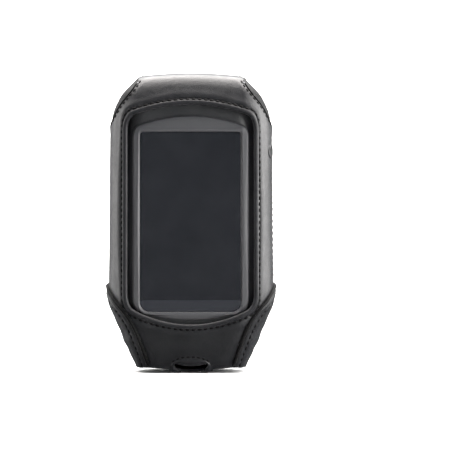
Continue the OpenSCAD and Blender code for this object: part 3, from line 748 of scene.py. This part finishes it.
# ---- shoulders, back and side stitching
def shoulder(side, word):
    """The gusset beyond the diagonal seam, the seam's beaded edge and stitches, and a thread knot at its top,
    coloured light as a painted highlight.
    """
    zs = np.linspace(SEAM_LOW_Z + 1.0, CASE.high - 1.0, 60)
    a_front = diagonal_a(zs) + 0.15
    u = np.linspace(0, 1, 28)
    a = side * (a_front[:, None] * (1 - u) + CASE.from_y(SEAM_Y, zs)[:, None] * u)
    p, n = on_body(a, np.repeat(zs[:, None], len(u), 1))
    top = edge_falloff(a.shape) - 0.5 * (1 - u)[None, :] ** 2 + 0.1 * ripple(p, 9.0, 1.7)
    lay(word + "_gusset", p, n, top, SHEET_T, GUSSET_MAT, "leather", word + "_shoulder_leather",
        flip=side < 0)
    knot_z = np.linspace(DIAG_TOP - 2.4, DIAG_TOP - 1.2, 8)
    knot = on_body(side * (diagonal_a(knot_z) - 0.75), knot_z)
    # The knot's light colour is a painted highlight
    sew(word + "_seam_knot_painted_highlight", *knot, 0, thread=KNOT_HIGHLIGHT_MAT, radius=0.5, lift=0.2)
    zd = np.linspace(SEAM_LOW_Z + 2, DIAG_TOP - 0.2, 200)
    stitch_line = on_body(side * (diagonal_a(zd) - 1.5), zd)
    sew(word + "_shoulder_stitching", *stitch_line, -0.02, length=2.2, radius=0.46)
    p, n = on_body(side * (diagonal_a(zd) + 0.1), zd)
    place(tube(word + "_shoulder_bead", p - n * 0.05, n, 0.42, PIPE_MAT, sides=10), "case", "piping")


def back_panel():
    zs = np.concatenate([
        np.linspace(1.2, 6, 8), np.linspace(8, CASE_H - 8, 90), np.linspace(CASE_H - 6, CASE.high - 1.0, 10)])
    around = CASE.half_round(zs)
    u = np.linspace(-1, 1, 121)
    from_middle = (around - CASE.from_y(SEAM_Y, zs))[:, None] * u
    a = np.sign(from_middle + 1e-9) * (around[:, None] - np.abs(from_middle))
    p, n = on_body(a, np.repeat(zs[:, None], len(u), 1))
    wave = 0.18 * ripple(p, 30.0, 4.4) + 0.05 * ripple(p, 8.0, 6.1)
    middle = len(u) // 2
    n[:, middle] = [0, 1, 0]
    p[:, middle, 0] = 0
    top = edge_falloff(a.shape) + wave
    lay("back_leather", p, n, top, SHEET_T, LEATHER_MAT, "leather", "back_leather_panel", flip=True)
    lay("back_lining", p, n, -1.9, LINING_IN, LINING_MAT, "lining", flip=True)


def side_stitching(side, word):
    rear = ("rear", SIDE_STITCH, CASE_H - 8, 500)
    front = ("front", -SIDE_STITCH, SEAM_LOW_Z - 3, 420)
    for tag, off, top_z, count in (rear, front):
        zs = np.linspace(50, top_z, count)
        line = on_body(side * (CASE.from_y(SEAM_Y, zs) + off), zs)
        sew(f"{word}_side_{tag}_stitching", *line, 0.05)


# ---- lower wings, piping and stitching
WING_TOP, WING_LOW = WING_EDGE[0, 1], WING_EDGE[-1, 1]


def edge_distance(line):
    """Distances round the section of points on the wing's front edge, no further out than the case."""
    return CASE.from_x(np.minimum(line[:, 0], CASE.w(line[:, 1])), line[:, 1])


wing_edge_a = Smooth(WING_EDGE[::-3, 1], edge_distance(WING_EDGE[::-3]))


def wing_top(u):
    """Height of a wing's top edge, from 0 at its front edge to 1 at the middle of the back."""
    return WING_TOP + 2.2 * np.sin(u * pi / 2) ** 2


def wing(side, word):
    u, v = np.linspace(0, 1, 130), np.linspace(0, 1, 70)
    low_a = float(wing_edge_a(WING_LOW)) * (1 - u) + (float(CASE.half_round(2.0)) - WING_GAP) * u
    z_low = bottom_rim(low_a) + 0.1
    tall = (wing_top(u) - z_low)[None, :]
    z = z_low[None, :] + v[:, None] * tall
    a_front = wing_edge_a(np.clip(z, WING_LOW, WING_TOP))
    a_end = CASE.half_round(z) - WING_GAP
    p, n = on_body(a_front * (1 - u) + a_end * u, z)
    du = np.minimum(u, 1 - u)[None, :] * (a_end - a_front)
    dv = np.minimum(v, 1 - v)[:, None] * tall
    t = np.clip(1 - np.minimum(du, dv) / 0.9, 0, 1)
    top = WING_T * np.sqrt(np.clip(1 - t * t * 0.96, 0, 1)) + 0.12 * ripple(p, 14.0, 8.8)
    front = u[None, :] < 0.5
    top = top + swell(du, WING_STITCH, 0.45, -0.28) * front + swell(du, 5.2, 1.8, 0.22) * front
    p, n = p * [side, 1, 1], n * [side, 1, 1]
    # The wings take the darker leather copy, which is painted shade
    lay(word + "_wing", p, n, top, 0.02, WING_SHADED_MAT, "leather", word + "_lower_wing", flip=side < 0)


def wing_piping(side, word):
    """Piping up a wing's front edge and on over its top edge, thinner at its ends."""
    line = WING_EDGE[::-1][4:]
    front_a = edge_distance(line)
    up = np.stack([front_a - 0.75, line[:, 1] + 0.41], -1)
    u = np.linspace(0.03, 0.42, 40)
    z = wing_top(u)
    over = np.stack([front_a[-1] * (1 - u) + CASE.half_round(z) * u, z + 0.55], -1)
    count = 260
    az = smooth_line(np.vstack([up, over]), count)
    p, n = on_body(az[:, 0] * side, az[:, 1])
    along = np.arange(count)
    taper = np.clip(np.minimum(along + 2, (count - along) / 3) / 8, 0.35, 1)
    centre = p + n * (0.72 - 0.9 * (1 - taper))[:, None]
    pipe = tube(word + "_piping", centre, n, 0.92 * taper, PIPE_MAT, sides=14)
    place(pipe, "case", "piping", word + "_wing_piping")


def wing_stitching(side, word):
    zs = np.linspace(WING_LOW + 1.6, WING_TOP - 2.5, 300)
    edge = wing_edge_a(zs)
    a = (edge + WING_STITCH * np.sqrt(1 + np.gradient(edge, zs) ** 2)) * side
    sew(word + "_wing_stitching", *on_body(a, zs), WING_T - 0.1)
    u = np.linspace(0.10, 0.995, 320)
    zs = wing_top(u) - 2.6
    a = wing_edge_a(np.minimum(zs, WING_TOP)) * (1 - u) + (CASE.half_round(zs) - WING_GAP) * u
    sew(word + "_wing_top_stitching", *on_body(a * side, zs), WING_T + 0.02)


# ---- slot hem and base
def both_sides(points, count):
    """A line through points in the slot's half width and in millimetres of height, on both sides."""
    half = resample(smooth_line(np.array(points) * [SLOT_HALF, 1], 200), count, closed=False)
    return np.vstack([half[::-1] * [-1, 1], half[1:]])


def slot_hem():
    inner = both_sides([
        (0, 3.8), (0.45, 4.05), (0.8, 4.75), (0.98, 5.25), (1.05, 4.9), (1.02, 3.8), (0.9, 2.2), (0.72, 0.9),
        (0.62, 0.35)], 70)
    outer = both_sides([
        (0, 8.3), (0.5, 8.1), (0.9, 7.3), (1.18, 5.9), (1.32, 4.0), (1.36, 2.2), (1.34, 0.9)], 70)
    v = np.linspace(0, 1, 18)
    loops = inner[None] * (1 - v)[:, None, None] + outer[None] * v[:, None, None]
    p, n = on_body(CASE.from_x(loops[..., 0], loops[..., 1]), loops[..., 1])
    height = 0.75 * np.sin(np.clip(v * 1.15, 0, 1) * pi)[:, None] ** 0.7
    along = np.linspace(-1, 1, loops.shape[1])
    ends = np.clip((1 - np.abs(along)) / 0.06, 0.25, 1)[None, :] ** 0.5
    lay("slot_hem_leather", p, n, 0.05 + height * ends, 0.6, LEATHER_MAT, "leather", "slot_hem")
    t = np.linspace(-1, 1, 200)
    arc = 2.4 + 6.3 * np.sqrt(np.clip(1 - np.abs(t) ** 2.3, 0, 1))
    line = np.stack([t * (SLOT_HALF + 3.1), arc], -1)[12:-12]
    sew("slot_stitching", *on_case(line), -0.02, length=2.1, radius=0.46)


def base_sheet():
    """The bottom, cut back behind the slot."""
    way = np.linspace(0, 2, 240, endpoint=False)
    half = float(CASE.half_round(0.5))
    a = np.where(way <= 1, way * half, -(2 - way) * half)
    rim = CASE.point(a, bottom_rim(a) + 0.2)[:, :2] * 0.985
    cut_half, cut_back = SLOT_HALF + 0.6, FRONT_LO[1] * 0.42
    cut = (np.abs(rim[:, 0]) < cut_half) & (rim[:, 1] < 0)
    rim[cut, 1] = np.maximum(rim[cut, 1], cut_back - 3.0 * (np.abs(rim[cut, 0]) / cut_half) ** 6)
    middle = np.array([0.0, 2.0])
    plan = middle + (rim - middle)[None] * np.linspace(0.02, 1, 26)[:, None, None]
    z = base_height(plan[..., 0], plan[..., 1])[..., None]
    low = np.concatenate([plan, z], -1)
    high = np.concatenate([plan, np.maximum(z + 1.3, 1.6)], -1)
    base = solid_sheet("base_leather_sheet", low, high, LEATHER_MAT, wrap=True, flip=True)
    place(base, "case", "leather", "base_leather")


# ---- top flap
def flap_profile():
    """The flap from the front edge over the top and down the back, as depth and height."""
    z_top = TOP_Z + 0.3
    start = CASE.point(0.0, TOP_EDGE_Z)
    back_y = FLAP_HI[1]
    r = 11.0
    flat_from = HINGE_Y + 4
    pts = [(start[1] - 0.02, start[2])]
    for y in np.linspace(start[1] + 1.2, flat_from, 6):
        f = (y - start[1]) / (flat_from - start[1])
        pts.append((y, start[2] + (z_top - start[2]) * sin(f * pi / 2) ** 0.9))
    pts += [(y, z_top) for y in np.linspace(flat_from + 2, back_y - r, 6)]
    pts += [(back_y - r + r * sin(t), z_top - r + r * cos(t))
            for t in np.linspace(0.15, pi / 2, 10)]
    pts += [(back_y, z) for z in np.linspace(z_top - r - 2, FLAP_LO[2] + 0.1, 8)]
    return smooth_line(pts, 110)


def top_flap():
    prof = flap_profile()
    tang = unit_length(np.gradient(prof, axis=0))
    up = np.stack([np.zeros(len(prof)), -tang[:, 1], tang[:, 0]], -1)
    arc = run_length(prof)
    left_len = arc[-1] - arc
    u = np.linspace(-1, 1, 81)

    # Half width: from the front panel's top edge out to the full width, with round free corners
    full = (FLAP_HI[0] - FLAP_LO[0]) / 2 - 0.05
    start = float(diagonal_a(DIAG_TOP)) - 0.1
    grown = np.clip((arc - 3.0) / 16.0, 0, 1)
    corner = 9.0
    half = start + (full - start) * grown * grown * (3 - 2 * grown)
    half = half - (corner - np.sqrt(np.clip(corner**2 - np.clip(corner - left_len, 0, corner) ** 2, 0, None)))

    # Outer face: its first rows lie on the case and ease off it
    x = half[:, None] * u[None, :]
    edge_drop = 2.2 * np.clip((np.abs(x) - 24.0) / 6.0, 0, 1) ** 2
    fade = np.clip((prof[:, 1] - (TOP_Z - 14)) / 14, 0, 1)
    drop = (ARCH * (x / ARCH_HALF) ** 2 + edge_drop * np.clip(1 - arc / 16.0, 0, 1)[:, None]) * fade[:, None]
    y = np.broadcast_to(prof[:, :1], x.shape)
    face = np.stack([x, y, prof[:, 1:] - drop], -1)
    first = CASE.point(u * start, np.full(len(u), TOP_EDGE_Z))
    ease = np.clip(1 - arc / 14.0, 0, 1)[:, None] ** 1.5
    face = face + (first - face[0])[None] * ease[..., None]

    # Rolled free edges, the stitches' groove and unevenness
    near = np.minimum((1 - np.abs(u))[None, :] * half[:, None], left_len[:, None])
    t = np.clip(1 - near / 0.8, 0, 1) * (arc > 4)[:, None]
    sink = -0.7 * (1 - np.sqrt(np.clip(1 - t * t, 0, 1)))
    sink = sink + swell(near, FLAP_STITCH, 0.45, -0.26) + 0.10 * (ripple(face, 12.0, 2.9) - 0.8)
    sink = np.minimum(sink, 0) * (1 - ease) + soft_lift(face) * ease
    nrm = np.broadcast_to(up[:, None], face.shape)
    flap = solid_sheet("flap_leather", face + nrm * sink[..., None], face - nrm * SHEET_T, LEATHER_MAT)
    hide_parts("top_flap")
    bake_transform(flap)

    keep = (arc > 8) & (left_len > FLAP_STITCH)
    for side, word in SIDES:
        xs = side * (half - FLAP_STITCH)
        line = np.stack([xs, prof[:, 0], prof[:, 1] - ARCH * (xs / ARCH_HALF) ** 2 * fade], -1)
        sew(word + "_flap_stitching", line[keep], up[keep], -0.18, "flap")
    xs = np.linspace(-full + 6.5, full - 6.5, 120)
    line = np.stack([xs, np.full(120, prof[-1, 0]), np.full(120, FLAP_LO[2] + 2.9)], -1)
    sew("flap_end_stitching", line, np.tile([0.0, 1, 0], (120, 1)), -0.18, "flap")


# ---- navigator face
GLASS_HALF = (GLASS_HI[0] - GLASS_LO[0]) / 2
GLASS_R_LOW, GLASS_R_HIGH = 5.0, 1.8
TRIM_Y = TRIM_LO[1]


def bezel():
    """A ring between the glass and the trim's outline.

    Its section gives ways across, from the inner edge, as parts of the middle stretch and from the outer
    edge, each with a depth behind the trim's front in the CAD.
    """
    section = {
        "in": [(0.0, 0.5), (0.05, 0.34), (0.55, -0.02), (0.95, -0.26), (1.15, -0.33), (1.35, -0.31)],
        "mid": [(0.0, -0.27), (0.25, -0.2), (0.5, -0.1), (0.75, 0.05), (1.0, 0.2)],
        "out": [(0.95, 0.28), (0.75, 0.42), (0.45, 0.7), (0.2, 1.0), (0.0, 1.4)]}
    grow, count = 0.12, 420
    inner = rounded_outline(
        GLASS_HALF + grow, GLASS_LO[2] - grow, GLASS_HI[2] + grow, GLASS_R_LOW + grow, GLASS_R_HIGH + grow,
        24, 400)
    outer = arched(TRIM_HI[0] - 0.05, TRIM_LO[2] + 0.05, TRIM_HI[2] - 0.05, 4.6, 5.0, 7.5)
    centre = np.array([0, (GLASS_LO[2] + GLASS_HI[2]) / 2])
    theta, r_in, r_out = rays(inner, outer, centre, count)
    foot = 0.7 * np.clip((-np.sin(theta) - 0.8) / 0.12, 0, 1)
    rows = []
    for kind, f, depth in [(kind, *row) for kind in section for row in section[kind]]:
        rad = {"in": r_in + f, "out": r_out - f, "mid": (r_in + 1.5) * (1 - f) + (r_out - 1.2) * f}[kind]
        flat = foot if kind == "in" else np.zeros(count)
        xz = centre + rad[:, None] * np.stack([np.cos(theta), np.sin(theta)], -1)
        rows.append(np.stack([xz[:, 0], (TRIM_Y + depth) * (1 - flat) + TRIM_Y * flat, xz[:, 1]], -1))
    top = np.array(rows)
    bottom = top.copy()
    bottom[..., 1] = TRIM_HI[1]
    face = solid_sheet("bezel_face", top, bottom, TRIM_MAT, wrap=True)
    place(face, "case", "trim_plastic", "bezel_trim")


def corner_cut(way, r):
    """How far a round corner lies in from the side, at a way from the end of the outline."""
    return np.where(way < r, r - np.sqrt(np.clip(r * r - (r - way) ** 2, 0, None)), 0)


def glass_pane():
    """The glass, with a lower band of its own material."""
    lo, hi = GLASS_LO[2], GLASS_HI[2]
    zs = np.concatenate([
        lo + 5 * (1 - np.cos(np.linspace(0.12, pi / 2, 12))), [lo + 6.15, lo + 6.25],
        np.linspace(lo + 8, hi - 2.2, 40), hi - 1.8 * (1 - np.cos(np.linspace(pi / 2, 0.12, 8)))])
    u = np.concatenate([[-1, -0.994, -0.985], np.linspace(-0.94, 0.94, 40), [0.985, 0.994, 1]])
    half = GLASS_HALF - corner_cut(zs - lo, GLASS_R_LOW) - corner_cut(hi - zs, GLASS_R_HIGH)
    x = half[:, None] * u[None, :]
    z = np.repeat(zs[:, None], len(u), 1)
    edge = np.minimum((1 - np.abs(u))[None, :] * GLASS_HALF, np.minimum(z - zs[0], zs[-1] - z))
    rolled = 0.16 * (1 - np.sqrt(np.clip(1 - np.clip(1 - edge / 0.25, 0, 1) ** 2, 0, 1)))
    front = np.stack([x, GLASS_LO[1] + 0.02 + rolled, z], -1)
    back = np.stack([x, np.full_like(x, GLASS_HI[1]), z], -1)
    pane = solid_sheet("touch_glass", front, back, [GLASS_MAT, STRIP_MAT])
    centres = np.array([poly.center[:] for poly in pane.data.polygons]) / MM
    band = (centres[:, 2] < lo + 6.2) & (centres[:, 1] < GLASS_HI[1] - 0.2)
    pane.data.polygons.foreach_set("material_index", band.astype(int))
    place(pane, "case", "front_glass", "front_glass")


def front_shell():
    """The navigator's front, from under the trim out to the joint with the rear half."""
    inner = unroll(UNIT, arched(TRIM_HI[0] - 0.6, TRIM_LO[2] + 0.6, TRIM_HI[2] - 0.6, 4.6, 5.0, 7.5))
    zs = np.linspace(UNIT.low + 0.3, UNIT.high - 0.3, 160)
    joint = np.stack([UNIT.from_y(-2.05, zs), zs], -1)
    outer = closed_outline(np.vstack([[[0, zs[0]]], joint, [[0, zs[-1]]]]))
    grid = ray_grid(inner, outer, 360, [0, 0.4, 0.9, 1.6, 2.4], 26, [1.0, 0.5, 0.0])[0]
    p, n = on_body(grid[..., 0], grid[..., 1], UNIT)
    lay("navigator_front_shell", p, n, 0, 1.6, HOUSING_MAT, "housing_plastic", "front_housing", wrap=True)


# ---- belt clip: raised rims, grip ribs and a stitched ring
def back_bead(name, xz, y, radius, body, closed):
    """A bead of clip plastic laid on a face that looks back."""
    path = np.stack([xz[:, 0], np.full(len(xz), y), xz[:, 1]], -1)
    out = np.tile([0.0, 1.0, 0.0], (len(path), 1))
    place(tube(name, path, out, radius, CLIP_MAT, sides=10, closed=closed), body, "clip_plastic")


def clip_details():
    plate_lo, plate_hi = box_mm("clip_plate")
    jaw_lo, jaw_hi = box_mm("clip_jaw")
    stud_lo, stud_hi = box_mm("clip_swivel_stud")
    pin_lo, pin_hi = box_mm("clip_hinge_pin")
    pivot_z = (pin_lo[2] + pin_hi[2]) / 2
    swivel_z = (stud_lo[2] + stud_hi[2]) / 2
    ring_r = (stud_hi[2] - stud_lo[2]) / 2 + 2.2
    jaw_half, tab_half = 13.0, plate_hi[0] - 4.6
    rims = (
        ("jaw_rim", jaw_half, jaw_lo[2] + 0.5, pivot_z - 3.8, 4.6, jaw_hi[1] - 0.3, "clip_jaw_body"),
        ("thumb_tab_rim", tab_half, pivot_z + 4.2, jaw_hi[2] - 0.5, 4.4, jaw_hi[1] - 0.3, "clip_jaw_body"),
        ("plate_rim", plate_hi[0], plate_lo[2] + 0.5, swivel_z + 17.5, 4.6, plate_lo[1] + 2.7, "belt_clip"))
    for name, half, low, high, r, y, body in rims:
        back_bead(name, rounded_outline(half - 0.5, low, high, r, r, 16, 200), y, 0.62, body, True)
    count = 24
    along = np.arange(count)
    thick = 0.42 * np.clip(np.minimum(along + 0.6, count - 0.4 - along) / 2, 0, 1) ** 0.5
    xs = np.linspace(-tab_half + 3.2, tab_half - 3.2, count)
    for i in range(4):
        xz = np.stack([xs, np.full(count, pivot_z + 6.6 + 1.5 * i)], -1)
        back_bead(f"thumb_tab_rib_{i + 1}", xz, jaw_hi[1] + 0.02, thick, "clip_jaw_body", False)
    turn = np.linspace(0, 2 * pi, 160, endpoint=False)
    x, z = ring_r * np.sin(turn), swivel_z + ring_r * np.cos(turn)
    p = CASE.point(np.sign(x + 1e-6) * (CASE.half_round(z) - np.abs(x)), z)
    sew("clip_ring_stitching", p, np.tile([0.0, 1.0, 0.0], (160, 1)), 0.12, closed=True)


# ---- all pieces, in the order of their random draws
front_panel()
front_lining()
key_mark()
window_binding()
for side, word in SIDES:
    shoulder(side, word)
back_panel()
for side, word in SIDES:
    side_stitching(side, word)
for side, word in SIDES:
    wing(side, word)
    wing_piping(side, word)
    wing_stitching(side, word)
slot_hem()
base_sheet()
top_flap()
bezel()
glass_pane()
front_shell()
clip_details()


# ---- stage, light and camera
FLOOR_MAT, floor_tree, floor_bsdf, floor_at = new_material("pale_floor")
mottle = texture(floor_tree, floor_at, "Noise", 3.0, Detail=2.0)
floor_tone = mix_colour(floor_tree, mottle, (0.86, 0.86, 0.86), (0.9, 0.9, 0.9))
fill(floor_tree, floor_bsdf, {"Base Color": floor_tone, "Roughness": 0.6})


def floor_sheet(name, depth, height):
    """A wide sheet through lines at depths and heights in millimetres, kept out of mirror reflections."""
    wide = np.array([-3000, -1000, 0, 1000, 3000])
    depth, height = np.asarray(depth, float)[:, None], np.asarray(height, float)[:, None]
    grid = np.stack(np.broadcast_arrays(wide[None], depth, height), -1)
    ob = add_mesh(name, grid.reshape(-1, 3), sheet_faces(len(depth), len(wide), False), FLOOR_MAT)
    ob.visible_glossy = False
    return ob


curve = np.linspace(0, pi / 2, 24)
depths = np.concatenate([[-430, -300, -150, 0, 600], 900 + 700 * np.sin(curve), [1600]])
heights = np.concatenate([[0, 0, 0, 0, 0], 700 - 700 * np.cos(curve), [2600]])
floor = floor_sheet("studio_floor", depths, heights)
front_floor = floor_sheet("studio_floor_front", [-3000, -1200, -430], [0, 0, 0])
front_floor.visible_diffuse = False


def area(name, at, look, size, power, colour=(1, 1, 1)):
    """A rectangular lamp in metres and watts."""
    data = bpy.data.lights.new(name, "AREA")
    data.shape = "RECTANGLE"
    data.size, data.size_y = size
    data.energy = power
    data.color = colour
    ob = new_object(name, data)
    ob.location = at
    ob.rotation_euler = (Vector(look) - Vector(at)).to_track_quat("-Z", "Y").to_euler()


MIDDLE = (0, 0, CASE_H * MM / 2)
WARM = (1, 0.985, 0.97)
area("right_softbox", (0.85, 0.0, 0.24), MIDDLE, (0.55, 0.6), 15.5, WARM)
area("right_front_softbox", (0.62, -0.5, 0.3), MIDDLE, (0.25, 0.5), 6.0, WARM)
area("left_softbox", (-0.85, 0.2, 0.2), MIDDLE, (0.7, 0.9), 8.6, WARM)
area("top_softbox", (0.0, 0.02, 0.95), (0, 0.02, 0), (1.5, 0.55), 46, (1, 0.955, 0.925))
area("floor_light", (0.0, 0.8, 1.5), (0, 0.7, 0), (1.8, 1.0), 40)
area("wall_light", (0.0, 0.7, 1.3), (0, 1.6, 0.5), (1.8, 0.6), 45)

world = bpy.data.worlds.new("studio")
bpy.context.scene.world = world
world.use_nodes = True
background = world.node_tree.nodes["Background"]
background.inputs["Color"].default_value = (0.85, 0.93, 1, 1)
background.inputs["Strength"].default_value = 0.145
bpy.context.scene.view_settings.view_transform = "Standard"

VIEW_W = 0.243  # width of the picture at the object, in metres
DIST = 1.1  # from the camera to the object
SENSOR = 36
cam = bpy.data.cameras.new("camera")
cam.sensor_width = SENSOR
cam.lens = SENSOR * DIST / VIEW_W
cam.clip_end = 20
cam_ob = new_object("camera", cam)
cam_ob.location = (0.0182, -DIST, 0.0788)
cam_ob.rotation_euler = (pi / 2, 0, 0)
bpy.context.scene.camera = cam_ob
